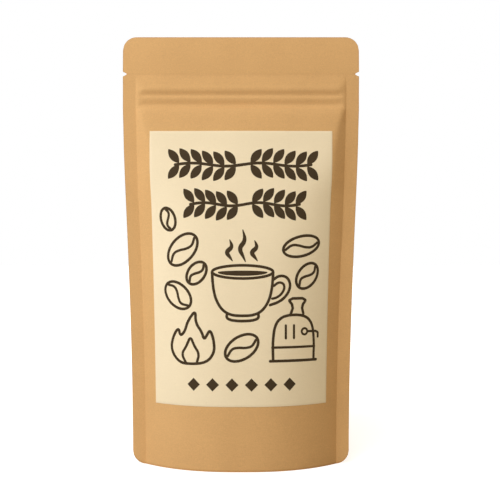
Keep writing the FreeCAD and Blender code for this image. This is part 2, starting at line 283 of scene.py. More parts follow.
def setMaterials(piece, *materials):
    piece.data.materials.clear()
    for material in materials:
        piece.data.materials.append(material)


# short hand for building a node tree
class NodeTree:
    def __init__(self, tree):
        self.tree = tree

    def add(self, kind, **settings):
        node = self.tree.nodes.new(kind)
        for field, value in settings.items():
            if field.startswith("in_"):
                node.inputs[int(field[3:])].default_value = value
            else:
                setattr(node, field, value)
        return node

    def link(self, source, target):
        self.tree.links.new(source, target)

    def math(self, operation, first, second=None, clamp=False):
        node = self.add("ShaderNodeMath", operation=operation, use_clamp=clamp)
        for index, value in enumerate((first, second)):
            if value is None:
                continue
            if isinstance(value, (int, float)):
                node.inputs[index].default_value = value
            else:
                self.link(value, node.inputs[index])
        return node.outputs[0]

    def noise(self, vector, scale, detail=2.0, roughness=0.5):
        node = self.add("ShaderNodeTexNoise")
        node.inputs["Detail"].default_value = detail
        node.inputs["Roughness"].default_value = roughness
        if isinstance(scale, (int, float)):
            node.inputs["Scale"].default_value = scale
        else:
            self.link(scale, node.inputs["Scale"])
        self.link(vector, node.inputs["Vector"])
        return node.outputs["Fac"]

    def remap(self, value, fromLow, fromHigh, toLow=0.0, toHigh=1.0):
        node = self.add("ShaderNodeMapRange", in_1=fromLow, in_2=fromHigh, in_3=toLow, in_4=toHigh)
        self.link(value, node.inputs[0])
        return node.outputs[0]

    def mix(self, share, first, second, blend="MIX"):
        node = self.add("ShaderNodeMix", data_type="RGBA", blend_type=blend)
        for socket, value in ((node.inputs[0], share), (node.inputs[6], first), (node.inputs[7], second)):
            if isinstance(value, (int, float, tuple)):
                socket.default_value = value
            else:
                self.link(value, socket)
        return node.outputs[2]


def newGroup(name, inputs, outputs):
    tree = bpy.data.node_groups.new(name, "ShaderNodeTree")
    for label, kind, value in inputs:
        socket = tree.interface.new_socket(name=label, in_out="INPUT", socket_type=kind)
        if value is not None:
            socket.default_value = value
    for label, kind in outputs:
        tree.interface.new_socket(name=label, in_out="OUTPUT", socket_type=kind)
    start = tree.nodes.new("NodeGroupInput")
    end = tree.nodes.new("NodeGroupOutput")
    return NodeTree(tree), start, end


# paper: soft mottle, fine grain and stretched fibres, as a shade factor and a height
def makePaperGroup():
    nodes, start, end = newGroup(
        "paperFibre",
        [("Vector", "NodeSocketVector", None), ("Mottle", "NodeSocketFloat", 0.05),
         ("Grain", "NodeSocketFloat", 0.06), ("Fibre", "NodeSocketFloat", 0.05)],
        [("Shade", "NodeSocketFloat"), ("Height", "NodeSocketFloat"), ("Fleck", "NodeSocketFloat")])
    vector = start.outputs["Vector"]
    mottle = nodes.remap(nodes.noise(vector, 45, 3), 0.3, 0.7, -1, 1)
    grain = nodes.remap(nodes.noise(vector, 1500, 2, 0.7), 0.25, 0.75, -1, 1)
    fibres = []
    for turn, stretch in ((0.35, 14.0), (-0.6, 11.0), (1.4, 12.0)):
        mapping = nodes.add("ShaderNodeMapping")
        mapping.inputs["Rotation"].default_value = (0, turn, 0)
        mapping.inputs["Scale"].default_value = (1.0, 1.0, stretch)
        nodes.link(vector, mapping.inputs["Vector"])
        fibres.append(nodes.remap(nodes.noise(mapping.outputs[0], 170, 1), 0.62, 0.72))
    fibre = nodes.math("MAXIMUM", nodes.math("MAXIMUM", fibres[0], fibres[1]), fibres[2])
    shade = nodes.math("MULTIPLY", mottle, start.outputs["Mottle"])
    shade = nodes.math("ADD", shade, nodes.math("MULTIPLY", grain, start.outputs["Grain"]))
    shade = nodes.math("ADD", shade, nodes.math("MULTIPLY", fibre, start.outputs["Fibre"]))
    nodes.link(nodes.math("ADD", shade, 1.0), end.inputs["Shade"])
    height = nodes.math("ADD", nodes.math("MULTIPLY", grain, 0.5), nodes.math("MULTIPLY", fibre, 0.6))
    nodes.link(nodes.math("ADD", height, nodes.math("MULTIPLY", mottle, 0.4)), end.inputs["Height"])
    nodes.link(nodes.remap(nodes.noise(vector, 620, 1), 0.70, 0.76), end.inputs["Fleck"])
    return nodes.tree


paperGroup = makePaperGroup()


def newMaterial(name):
    material = bpy.data.materials.new(name)
    material.use_nodes = True
    nodes = NodeTree(material.node_tree)
    shader = material.node_tree.nodes["Principled BSDF"]
    return material, nodes, shader


def addBump(nodes, shader, height, strength, distance):
    bump = nodes.add("ShaderNodeBump")
    bump.inputs["Strength"].default_value = strength
    bump.inputs["Distance"].default_value = distance
    nodes.link(height, bump.inputs["Height"])
    nodes.link(bump.outputs[0], shader.inputs["Normal"])


# uncoated paper of one colour, with its fibres
def paperMaterial(name, look):
    material, nodes, shader = newMaterial(name)
    place = nodes.add("ShaderNodeTexCoord")
    fibre = nodes.add("ShaderNodeGroup", node_tree=paperGroup)
    nodes.link(place.outputs["Object"], fibre.inputs["Vector"])
    for label in ("Mottle", "Grain", "Fibre"):
        fibre.inputs[label].default_value = look[label.lower()]
    shaded = nodes.add("ShaderNodeVectorMath", operation="SCALE")
    shaded.inputs[0].default_value = look["color"][:3]
    nodes.link(fibre.outputs["Shade"], shaded.inputs["Scale"])
    fleck = nodes.math("MULTIPLY", fibre.outputs["Fleck"], look["fleck"])
    flecked = nodes.mix(fleck, shaded.outputs[0], look["fleckColor"])
    # darker towards cut edges: the paper's own darker cut edge and painted shade of the film's thin edge
    edge = nodes.add("ShaderNodeAttribute", attribute_name="cutEdge")
    nodes.link(nodes.mix(nodes.math("MULTIPLY", edge.outputs["Fac"], 0.75), flecked, look["edgeColor"]),
               shader.inputs["Base Color"])
    nodes.link(nodes.remap(fibre.outputs["Height"], -1, 1, look["rough"] + 0.06, look["rough"] - 0.06),
               shader.inputs["Roughness"])
    addBump(nodes, shader, fibre.outputs["Height"], look["bump"], 0.02 * mm)
    shader.inputs["Specular IOR Level"].default_value = look["specular"]
    return material


kraftPaper = paperMaterial("kraftPaper", {
    "color": (0.65, 0.373, 0.144, 1), "mottle": 0.025, "grain": 0.075, "fibre": 0.03, "fleck": 0.06,
    # edgeColor: the darker cut edge, partly painted shade of the film's edge
    "fleckColor": (0.33, 0.17, 0.06, 1), "edgeColor": (0.45, 0.205, 0.055, 1), "rough": 0.75, "bump": 0.6,
    "specular": 0.06})
labelPaper = paperMaterial("labelPaper", {
    "color": (0.83, 0.678, 0.427, 1), "mottle": 0.012, "grain": 0.02, "fibre": 0.015, "fleck": 0.08,
    "fleckColor": (0.60, 0.45, 0.25, 1), "edgeColor": (0.86, 0.74, 0.52, 1), "rough": 0.66, "bump": 0.3,
    "specular": 0.15})
filterPaper = paperMaterial("filterPaper", {
    "color": (0.78, 0.72, 0.60, 1), "mottle": 0.03, "grain": 0.08, "fibre": 0.08, "fleck": 0.1,
    "fleckColor": (0.60, 0.50, 0.36, 1), "edgeColor": (0.78, 0.72, 0.60, 1), "rough": 0.9, "bump": 1.0,
    "specular": 0.2})


# moulded plastic, rubber or film: faint flow marks and a fine grain
def plasticMaterial(name, color, rough, mottle=0.04, metallic=0.0, specular=0.5):
    material, nodes, shader = newMaterial(name)
    place = nodes.add("ShaderNodeTexCoord")
    flow = nodes.remap(nodes.noise(place.outputs["Object"], 160, 3), 0.3, 0.7, 1 - mottle, 1 + mottle)
    shaded = nodes.add("ShaderNodeVectorMath", operation="SCALE")
    shaded.inputs[0].default_value = color[:3]
    nodes.link(flow, shaded.inputs["Scale"])
    nodes.link(shaded.outputs[0], shader.inputs["Base Color"])
    grain = nodes.noise(place.outputs["Object"], 2600, 2)
    nodes.link(nodes.remap(grain, 0.3, 0.7, rough - 0.05, rough + 0.05), shader.inputs["Roughness"])
    addBump(nodes, shader, grain, 0.25, 0.01 * mm)
    shader.inputs["Metallic"].default_value = metallic
    shader.inputs["Specular IOR Level"].default_value = specular
    return material


foilLining = plasticMaterial("foilLining", (0.74, 0.74, 0.75, 1), 0.32, 0.05, metallic=0.9)
zipperPlastic = plasticMaterial("zipperPlastic", (0.86, 0.84, 0.79, 1), 0.3)
valvePlastic = plasticMaterial("valvePlastic", (0.84, 0.83, 0.80, 1), 0.45)
valveRubber = plasticMaterial("valveRubber", (0.035, 0.035, 0.037, 1), 0.6)
printInk = plasticMaterial("printInk", (0.046, 0.027, 0.009, 1), 0.8, 0.10, specular=0.2)


def beanMaterial():
    material, nodes, shader = newMaterial("roastedBean")
    place = nodes.add("ShaderNodeTexCoord")
    tone = nodes.noise(place.outputs["Object"], 110, 3)
    nodes.link(nodes.mix(nodes.remap(tone, 0.3, 0.7), (0.060, 0.024, 0.010, 1), (0.135, 0.058, 0.024, 1)),
               shader.inputs["Base Color"])
    nodes.link(nodes.remap(tone, 0.3, 0.7, 0.32, 0.5), shader.inputs["Roughness"])
    addBump(nodes, shader, nodes.noise(place.outputs["Object"], 900, 2), 0.4, 0.05 * mm)
    return material


roastedBean = beanMaterial()
print("materials made")


edgeTintAndShade = {
    "width": 0.45 * mm,      # how far in from a cut edge the paper is painted darker: its own darker cut edge and painted shade of the film's edge
}
webGrid = {
    "middleColumns": 92,
    "sealColumns": 8,
    "rowHeight": 2.2 * mm,
    "fineRow": 0.25 * mm,
    "lipColumns": 64,
    "lipRows": 76,
}


# how far a tear notch reaches in from the edge at a height
def notchCut(z):
    away = abs(z - tearHeight) / web["notchRise"]
    return web["notchDepth"] * (1 - away ** 1.6) if away < 1 else 0.0


# height of a web's bottom edge, which is rounded at the outer corners
def cornerLift(x):
    radius = web["cornerRadius"]
    inside = abs(x) - (halfChord(0) + web["sideSeal"] - radius)
    return radius - math.sqrt(max(0.0, radius ** 2 - inside ** 2)) if inside > 0 else 0.0


# across the web: u is the distance from the middle on the flat film
def webX(u, z):
    if abs(u) <= halfWeb:
        return u / halfWeb * halfChord(z)
    reach = (abs(u) - halfWeb) / web["sideSeal"]
    return math.copysign(halfChord(z) + reach * (web["sideSeal"] - notchCut(z)), u)


valveMark = {
    "height": (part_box("valve_body")[0].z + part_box("valve_body")[1].z) / 2,
    "ring": 9.4 * mm,        # welded ring of the valve, seen through the film
    "ringRise": 0.40 * mm,
    "ringWidth": 1.1 * mm,
    "dish": 0.22 * mm,
    "dishLow": 5 * mm,       # full depth inside this radius
    "dishHigh": 8.6 * mm,
    "patch": 12 * mm,        # half side of the finer grid
    "patchSteps": 36,
    "holeRadius": 0.6 * mm,
    "holeCircle": 3.2 * mm,
    "holes": 5,
}


# the back web stands up in a ring over the valve's weld and dips a little inside it
def valveRing(x, z):
    away = math.hypot(x, z - valveMark["height"])
    ring = math.exp(-((away - valveMark["ring"]) / valveMark["ringWidth"]) ** 2)
    dish = 1 - smooth(away, valveMark["dishLow"], valveMark["dishHigh"])
    return valveMark["ringRise"] * ring - valveMark["dish"] * dish


# side is -1 for the front and 1 for the back
def webPoint(side):
    def place(u, z):
        x = webX(u, z)
        lift = cornerLift(x)
        low = 3 * web["cornerRadius"]
        height = lift + z * (1 - lift / low) if z < low else z
        depth = webDepth(x, height) if abs(u) < halfWeb else 0.0
        if side > 0:
            depth += valveRing(x, height)
        return Vector((x, side * (depth + film) + sealShift(x, height), height))
    return place


def webColumns(side):
    middle = [halfWeb * math.sin(math.pi / 2 * k / (webGrid["middleColumns"] / 2))
              for k in range(-webGrid["middleColumns"] // 2, webGrid["middleColumns"] // 2 + 1)]
    edge = steps(halfWeb, halfWidth - edgeTintAndShade["width"], webGrid["sealColumns"])[1:] + [halfWidth]
    if side > 0:
        patch = valveMark["patch"]
        middle = [u for u in middle if abs(u) > patch + 1 * mm]
        middle += steps(-patch, patch, valveMark["patchSteps"])
        middle.sort()
    columns = [-u for u in reversed(edge)] + middle + edge
    return columns if side < 0 else columns[::-1]


def webRows(side):
    corner = steps(0, 2 * web["cornerRadius"], 12)
    count = round((hingeHeight - 2 * web["cornerRadius"]) / webGrid["rowHeight"])
    body = steps(2 * web["cornerRadius"], hingeHeight, count)
    if side > 0:
        low, high = valveMark["height"] - valveMark["patch"], valveMark["height"] + valveMark["patch"]
        body = [z for z in body if z < low - 1 * mm or z > high + 1 * mm]
        body += steps(low, high, valveMark["patchSteps"])
        body.sort()
    upper = steps(hingeHeight, tearHeight - web["notchRise"], 16)
    nick = steps(tearHeight - web["notchRise"], tearHeight, round(web["notchRise"] / webGrid["fineRow"]))
    return corner + body[1:] + upper[1:] + nick[1:]


# takes out the film between the side seals above the bend, which the lips are
def cutMouth(piece):
    selectOnly(piece)
    for face in piece.data.polygons:
        centre = face.center
        face.select = centre.z > hingeHeight and abs(centre.x) < halfChord(centre.z)
    for edge in piece.data.edges:
        edge.select = False
    for vertex in piece.data.vertices:
        vertex.select = False
    for face in piece.data.polygons:
        if face.select:
            for index in face.vertices:
                piece.data.vertices[index].select = True
    bpy.ops.object.mode_set(mode="EDIT")
    bpy.ops.mesh.select_mode(type="FACE")
    bpy.ops.mesh.delete(type="FACE")
    bpy.ops.object.mode_set(mode="OBJECT")


# point attribute that the paper reads: 1 where the film was cut; there the paper is painted darker, partly
# its own darker cut edge, partly painted shade of the film's edge
def markEdgeTintAndShade(piece, isEdge):
    marks = piece.data.attributes.new("cutEdge", "FLOAT", "POINT")
    for vertex in piece.data.vertices:
        marks.data[vertex.index].value = 1.0 if isEdge(vertex.co) else 0.0


# pin holes through the back web, over the valve's ports
def punchHoles(piece):
    depth = webDepth(0, valveMark["height"])
    pins = []
    for k in range(valveMark["holes"]):
        turn = 2 * math.pi * (k + 0.25) / valveMark["holes"]
        deselectAll()
        bpy.ops.mesh.primitive_cylinder_add(
            vertices=20, radius=valveMark["holeRadius"], depth=4 * mm, rotation=(math.pi / 2, 0, 0),
            location=(valveMark["holeCircle"] * math.cos(turn), depth,
                      valveMark["height"] + valveMark["holeCircle"] * math.sin(turn)))
        pins.append(bpy.context.active_object)
    pin = joinPieces(pins, "pins")
    modify(piece, "BOOLEAN", operation="DIFFERENCE", object=pin, solver="EXACT")
    bpy.data.objects.remove(pin)


def makePanel(name, side, node):
    piece = addGrid(name, webColumns(side), webRows(side), webPoint(side))
    cutMouth(piece)

    def isEdge(point):
        edge = halfChord(point.z) + web["sideSeal"] - notchCut(point.z)
        return abs(point.x) > edge - nearly or point.z < cornerLift(point.x) + nearly

    markEdgeTintAndShade(piece, isEdge)
    setMaterials(piece, kraftPaper, foilLining)
    thicken(piece, film, 1)
    if side > 0:
        punchHoles(piece)
    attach(piece, "pouch")
    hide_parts(node)


makePanel("frontPanel", -1, "front_panel")
makePanel("backPanel", 1, "back_panel")


# half a lip, from the middle to one side seal
def makeLipHalf(name, side, end, node):
    count = webGrid["lipColumns"]
    across = [halfWeb * math.sin(math.pi / 2 * k / count) for k in range(count + 1)]
    columns = across if end > 0 else [-u for u in reversed(across)]
    if side > 0:
        columns = columns[::-1]
    rows = steps(hingeHeight, tearHeight, webGrid["lipRows"])

    def place(u, z):
        x = webX(u, z)
        return Vector((x, side * (webDepth(x, z) + film), z))

    piece = addGrid(name, columns, rows, place)
    setMaterials(piece, kraftPaper, foilLining)
    thicken(piece, film, 1)
    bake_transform(piece)
    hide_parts(node)


for side, body in ((-1, "front_lip"), (1, "back_lip")):
    for end, word in ((-1, "Left"), (1, "Right")):
        makeLipHalf(("front" if side < 0 else "back") + "Lip" + word, side, end, body)


header = {
    "room": 0.04 * mm,       # the lips swing free under its lower edge
}


# one ply of the sealed header above the tear line
def makeTearStrip(name, side, node):
    radius = web["cornerRadius"]
    edge = steps(halfWeb, halfWidth - edgeTintAndShade["width"], 16)[1:] + [halfWidth]
    middle = steps(-halfWeb, halfWeb, 40)
    columns = [-u for u in reversed(edge)] + middle + edge
    if side > 0:
        columns = columns[::-1]
    rows = steps(tearHeight + header["room"], tearHeight + web["notchRise"], 5)
    rows += steps(tearHeight + web["notchRise"], topHeight - radius, 6)[1:]
    rows += steps(topHeight - radius, topHeight - edgeTintAndShade["width"], 10)[1:] + [topHeight]

    def place(u, z):
        x = webX(u, z)
        inside = abs(x) - (halfWidth - radius)
        drop = radius - math.sqrt(max(0.0, radius ** 2 - inside ** 2)) if inside > 0 else 0.0
        low = tearHeight + web["notchRise"]
        if z > low:
            z = low + (z - low) * (1 - drop / (topHeight - low))
        return Vector((x, side * film + headerLean(z), z))

    def isEdge(point):
        inside = max(0.0, abs(point.x) - (halfWidth - radius))
        top = topHeight - radius + math.sqrt(max(0.0, radius ** 2 - inside ** 2))
        return point.z > top - nearly or abs(point.x) > halfWidth - notchCut(point.z) - nearly

    piece = addGrid(name, columns, rows, place)
    markEdgeTintAndShade(piece, isEdge)
    setMaterials(piece, kraftPaper)
    thicken(piece, film)
    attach(piece, "tear_strip")
    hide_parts(node)


makeTearStrip("tearStripFront", -1, "front_tear_strip")
makeTearStrip("tearStripBack", 1, "back_tear_strip")
print("webs made")

gusset = {
    "rise": 16.4 * mm,
    "droop": 1.385,          # how much higher the fold stands at the sides
    "webGap": 0.05 * mm,
    "endGap": 1.4 * mm,
    "crease": 0.16,          # share of the rise that is a sharp fold
    "columns": 40,           # each side of the middle
    "rows": 48,
}


# outer face of the gusset: c runs from -1 at the front web to 1 at the back web
def gussetPoint(x, c):
    middle = webDepth(0, 0) - gusset["webGap"]
    half = max(0.0, webDepth(x, 0) - gusset["webGap"])
    rise = math.sqrt(gusset["rise"] ** 2 + gusset["droop"] * (middle ** 2 - half ** 2))
    hump = math.sqrt(max(0.0, 1 - c * c))
    return Vector((x, half * c, rise * ((1 - gusset["crease"]) * hump + gusset["crease"] * (1 - abs(c)))))


def makeGusset():
    end = halfChord(0) - gusset["endGap"]
    half, count = gusset["columns"], gusset["rows"]
    columns = [end * math.sin(math.pi / 2 * k / half) for k in range(-half, half + 1)]
    rows = [-math.cos(math.pi * k / count) for k in range(count + 1)]
    piece = addGrid("bottomGusset", columns, rows, gussetPoint)
    setMaterials(piece, foilLining, kraftPaper)
    thicken(piece, film, 1)
    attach(piece, "pouch")
    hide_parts("bottom_gusset")


makeGusset()
print("gusset made")

zipper = {
    "flange": 0.20 * mm,
    "flangeGap": 0.03 * mm,
    "ribBase": 1.8 * mm,
    "ribThick": 0.7 * mm,
    "ribReach": 0.55 * mm,
    "headRise": 0.84 * mm,
    "headDepth": 0.25 * mm,
    "half": 0.95 * mm,
    "grooveWidth": 1.2 * mm,
    "grooveWall": 0.5 * mm,
    "grooveFloor": 0.2 * mm,
    "drop": 0.7 * mm,        # the profile lies between the film's two dips
    "sections": 22,
    "filmColumns": 44,
    "filmRows": 30,
}
profileHeight = zipMiddle - zipper["drop"]


# where the flange lies, measured from the middle plane
def zipperFilmFace(x, z):
    return webDepth(x, z) - zipper["flangeGap"]


def makeFlange(name, side, end):
    columns = steps(0, zipHalfLength, zipper["filmColumns"])
    columns = columns if end > 0 else [-x for x in reversed(columns)]
    if side > 0:
        columns = columns[::-1]
    rows = steps(zipLow, zipHigh, zipper["filmRows"])
    piece = addGrid(name, columns, rows, lambda x, z: Vector((x, side * zipperFilmFace(x, z), z)))
    modify(piece, "SOLIDIFY", thickness=zipper["flange"], offset=-1.0)
    return piece


# extrudes a closed outline, given as depth and height, along half of the zipper
def makeProfile(name, profile, end):
    deselectAll()
    bpy.ops.mesh.primitive_circle_add(vertices=len(profile), radius=1, fill_type="NGON")
    piece = bpy.context.active_object
    piece.name = name
    for vertex, (depth, height) in zip(piece.data.vertices, profile):
        vertex.co = Vector((0, depth, height))
    bpy.ops.object.mode_set(mode="EDIT")
    bpy.ops.mesh.select_all(action="SELECT")
    reach = end * zipHalfLength / zipper["sections"]
    for _ in range(zipper["sections"]):
        bpy.ops.mesh.extrude_region_move(TRANSFORM_OT_translate={"value": (reach, 0, 0)})
    bpy.ops.mesh.select_all(action="SELECT")
    bpy.ops.mesh.normals_make_consistent(inside=False)
    bpy.ops.object.mode_set(mode="OBJECT")
    return piece


def ribOutline():
    head, neck, root = zipper["headRise"] / 2, zipper["ribThick"] / 2, zipper["ribBase"] / 2
    tip = zipper["ribReach"]
    return [(-zipper["half"] + 0.1 * mm, profileHeight - root), (-0.30 * mm, profileHeight - root * 0.72),
            (-0.20 * mm, profileHeight - neck), (tip - zipper["headDepth"], profileHeight - neck),
            (tip - zipper["headDepth"] * 0.8, profileHeight - head), (tip, profileHeight - head * 0.45),
            (tip, profileHeight + head * 0.45), (tip - zipper["headDepth"] * 0.8, profileHeight + head),
            (tip - zipper["headDepth"], profileHeight + neck), (-0.20 * mm, profileHeight + neck),
            (-0.30 * mm, profileHeight + root * 0.72), (-zipper["half"] + 0.1 * mm, profileHeight + root)]


def grooveOutline():
    inner = zipper["grooveWidth"] / 2
    outer = inner + zipper["grooveWall"]
    back = zipper["half"] - 0.1 * mm
    floor = back - zipper["grooveFloor"]
    corner = back - 0.15 * mm
    return [(corner, profileHeight - outer), (back, profileHeight - outer * 0.5),
            (back, profileHeight + outer * 0.5), (corner, profileHeight + outer),
            (0.12 * mm, profileHeight + outer * 0.94),
            (0.02 * mm, profileHeight + outer * 0.80), (0.02 * mm, profileHeight + inner * 0.86),
            (0.22 * mm, profileHeight + inner), (floor, profileHeight + inner),
            (floor, profileHeight - inner), (0.22 * mm, profileHeight - inner),
            (0.02 * mm, profileHeight - inner * 0.86),
            (0.02 * mm, profileHeight - outer * 0.80), (0.12 * mm, profileHeight - outer * 0.94)]


def makeZipperHalf(name, side, end, outline, node):
    pieces = [makeFlange(name + "Flange", side, end), makeProfile(name + "Profile", outline, end)]
    piece = joinPieces(pieces, name)
    setMaterials(piece, zipperPlastic)
    shadeSmooth(piece, 40)
    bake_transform(piece)
    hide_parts(node)


for end, word in ((-1, "Left"), (1, "Right")):
    makeZipperHalf("zipperRib" + word, -1, end, ribOutline(), "zipper_rib_strip")
    makeZipperHalf("zipperGroove" + word, 1, end, grooveOutline(), "zipper_groove_strip")
print("zipper made")

beanFill = {
    "length": 10.8 * mm,
    "width": 7.8 * mm,
    "thickness": 5.8 * mm,
    "layer": 5.4 * mm,
    "rowPitch": 7.4 * mm,
    "columnPitch": 9.4 * mm,
    "wallGap": 0.5 * mm,
    "seed": 7,
}


# one roasted bean: a half-round back and a flat face with its crease
def makeBean():
    deselectAll()
    bpy.ops.mesh.primitive_uv_sphere_add(segments=10, ring_count=6, radius=0.5)
    piece = bpy.context.active_object
    for vertex in piece.data.vertices:
        x, y, z = vertex.co
        height = y if y > 0 else y * 0.45
        if y < -0.05 and abs(x) < 0.12:
            height += 0.10
        vertex.co = Vector((x * beanFill["width"], height * beanFill["thickness"] * 1.35,
                            z * beanFill["length"]))
    return piece


def gussetTop(x, y):
    half = max(1e-6, webDepth(x, 0) - gusset["webGap"])
    return gussetPoint(x, min(1.0, abs(y) / half)).z if abs(y) < half else 0.0


def fits(points):
    for point in points:
        if abs(point.x) > halfChord(point.z) - 1.0 * mm:
            return False
        if abs(point.y) > webDepth(point.x, point.z) - beanFill["wallGap"]:
            return False
        if point.z < gussetTop(point.x, point.y) + beanFill["wallGap"] or point.z > coffeeTop + 4 * mm:
            return False
    return True


def makeBeanFill():
    chance = random.Random(beanFill["seed"])
    one = makeBean()
    shape = [vertex.co.copy() for vertex in one.data.vertices]
    facesOfOne = [tuple(face.vertices) for face in one.data.polygons]
    vertices, faces = [], []
    count = 0
    for layer in range(int(coffeeTop / beanFill["layer"]) + 1):
        z = (layer + 0.6) * beanFill["layer"]
        for row in range(-3, 4):
            for column in range(-7, 8):
                x = (column + 0.5 * ((layer + row) % 2)) * beanFill["columnPitch"]
                y = (row + 0.5 * (layer % 2)) * beanFill["rowPitch"]
                if abs(x) > halfWeb or abs(y) > webDepth(x, z):
                    continue
                for attempt in range(5):
                    pull = 1 - 0.06 * attempt
                    place = Vector((x * pull + chance.uniform(-1, 1) * mm,
                                    y * pull + chance.uniform(-1, 1) * mm,
                                    z + chance.uniform(-1.2, 1.2) * mm))
                    turn = Matrix.Rotation(chance.uniform(0, 2 * math.pi), 3, "Z") \
                        @ Matrix.Rotation(chance.uniform(0.9, 2.2), 3, "X") \
                        @ Matrix.Rotation(chance.uniform(0, 2 * math.pi), 3, "Z")
                    size = chance.uniform(0.88, 1.06)
                    points = [place + turn @ (point * size) for point in shape]
                    if fits(points):
                        start = len(vertices)
                        vertices += points
                        faces += [tuple(start + index for index in face) for face in facesOfOne]
                        count += 1
                        break
    mesh = bpy.data.meshes.new("coffeeBeans")
    mesh.from_pydata(vertices, [], faces)
    piece = bpy.data.objects.new("coffeeBeans", mesh)
    bpy.context.collection.objects.link(piece)
    bpy.data.objects.remove(one)
    setMaterials(piece, roastedBean)
    shadeSmooth(piece, 50)
    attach(piece, "pouch")
    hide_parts("coffee_fill")
    print("coffee beans made:", count)


makeBeanFill()


label = {
    "halfWidth": 50 * mm,
    "lift": 0.02 * mm,
    "thickness": 0.14 * mm,
    "columns": 80,
    "rows": 100,
}


# distance along the curved film for each distance across, at even heights of the label
def makeArcTable(count=48, stepWidth=0.25 * mm):
    table = []
    for z in steps(labelLow, labelHigh, count):
        across, along = [0.0], [0.0]
        while along[-1] < label["halfWidth"] + 1 * mm:
            x = across[-1] + stepWidth
            rise = webDepth(x, z) - webDepth(across[-1], z)
            across.append(x)
            along.append(along[-1] + math.hypot(stepWidth, rise))
        table.append((across, along))
    return table


arcTable = makeArcTable()


# across the pouch for a distance s along the label's own paper
def labelX(s, z):
    level = (z - labelLow) / (labelHigh - labelLow) * (len(arcTable) - 1)
    lower = min(len(arcTable) - 2, max(0, int(level)))
    near, far = (np.interp(abs(s), arcTable[k][1], arcTable[k][0]) for k in (lower, lower + 1))
    return math.copysign(near + (far - near) * (level - lower), s)


# point on the label's face, s across its paper, and height above it
def onLabel(s, z, height=0.0):
    x = labelX(s, z)
    return Vector((x, -(webDepth(x, z) + film + label["lift"] + label["thickness"] + height), z))


def makeLabel():
    columns = steps(-label["halfWidth"], label["halfWidth"], label["columns"])
    rows = steps(labelLow, labelHigh, label["rows"])
    piece = addGrid("paperLabel", columns, rows, onLabel)
    setMaterials(piece, labelPaper)
    modify(piece, "SOLIDIFY", thickness=label["thickness"], offset=-1.0)
    modify(piece, "BEVEL", width=0.05 * mm, segments=2, limit_method="ANGLE", angle_limit=math.radians(50))
    shadeSmooth(piece)
    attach(piece, "pouch")
    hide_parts("label")


makeLabel()
print("label made")

printWork = {
    "line": 1.50 * mm,       # width of the drawn lines
    "height": 0.030 * mm,    # how far the ink stands on the paper
    "layerStep": 0.004 * mm,  # each drawn shape lies a little higher than the one before
    "sink": 0.012 * mm,
    "stepLength": 0.45 * mm,
}
printLayers = []


# rounds a given path by cutting its corners
def smoothPath(points, closed=False, rounds=3):
    points = [Vector(point) for point in points]
    for _ in range(rounds):
        shaped = [] if closed else [points[0]]
        count = len(points) if closed else len(points) - 1
        for k in range(count):
            first, second = points[k], points[(k + 1) % len(points)]
            shaped.append(first * 0.75 + second * 0.25)
            shaped.append(first * 0.25 + second * 0.75)
        if not closed:
            shaped.append(points[-1])
        points = shaped
    return points


# same path with even short steps
def evenPath(points, closed=False):
    loop = points + [points[0]] if closed else points
    lengths = [0.0]
    for first, second in zip(loop, loop[1:]):
        lengths.append(lengths[-1] + (second - first).length)
    count = max(2, round(lengths[-1] * mm / printWork["stepLength"]))
    marks = [lengths[-1] * k / count for k in range(count + (0 if closed else 1))]
    return [Vector((float(np.interp(mark, lengths, [point.x for point in loop])),
                    float(np.interp(mark, lengths, [point.y for point in loop])))) for mark in marks]


def turned(points, centre, degrees):
    turn = math.radians(degrees)
    cosine, sine = math.cos(turn), math.sin(turn)
    return [(centre[0] + x * cosine - y * sine, centre[1] + x * sine + y * cosine) for x, y in points]


# lays a flat mesh, in millimetres from the middle of the label's lower edge, on the curved paper
def layPrint(vertices, faces):
    height = printWork["height"] + printWork["layerStep"] * (len(printLayers) % 6)
    mesh = bpy.data.meshes.new("printLayer")
    mesh.from_pydata([onLabel(x * mm, labelLow + y * mm, height) for x, y in vertices], [], faces)
    piece = bpy.data.objects.new("printLayer", mesh)
    bpy.context.collection.objects.link(piece)
    modify(piece, "SOLIDIFY", thickness=height + printWork["sink"], offset=-1.0)
    printLayers.append(piece)
    return piece


# a pen line with round ends; taper(share) may narrow it along its way
def drawLine(points, closed=False, width=None, rounds=3, taper=None):
    width = (width or printWork["line"]) / mm
    path = evenPath([point * 1.0 for point in smoothPath(points, closed, rounds)], closed)
    vertices, faces = [], []
    count = len(path)
    for k, point in enumerate(path):
        before = path[(k - 1) % count] if closed or k else path[0]
        after = path[(k + 1) % count] if closed or k < count - 1 else path[-1]
        along = (after - before).normalized()
        side = Vector((along.y, -along.x))
        scale = taper(k / (count - 1)) if taper else 1.0
        half = width / 2 * scale
        vertices += [tuple(point - side * half), tuple(point), tuple(point + side * half)]
    ring = count if closed else count - 1
    for k in range(ring):
        a, b = 3 * k, 3 * ((k + 1) % count)
        faces += [(a, a + 1, b + 1, b), (a + 1, a + 2, b + 2, b + 1)]
    if not closed:
        for end, sign in ((0, -1), (count - 1, 1)):
            along = (path[1] - path[0] if end == 0 else path[-1] - path[-2]).normalized() * sign
            side = Vector((along.y, -along.x))
            half = width / 2 * (taper(0 if end == 0 else 1) if taper else 1.0)
            first = len(vertices)
            for step in range(1, 6):
                turn = math.pi * step / 6
                way = side * half * math.cos(turn) + along * half * math.sin(turn)
                vertices.append(tuple(path[end] + way))
            left, middle, right = 3 * end, 3 * end + 1, 3 * end + 2
            start, finish = (right, left) if sign > 0 else (left, right)
            fan = [start] + list(range(first, first + 5)) + [finish]
            for a, b in zip(fan, fan[1:]):
                faces.append((middle, a, b))
    return layPrint(vertices, orient(vertices, faces))


# turns every face to the same side, seen from the front
def orient(vertices, faces):
    turnedFaces = []
    for face in faces:
        area = 0.0
        for a, b in zip(face, face[1:] + face[:1]):
            area += vertices[a][0] * vertices[b][1] - vertices[b][0] * vertices[a][1]
        turnedFaces.append(face if area > 0 else face[::-1])
    return turnedFaces


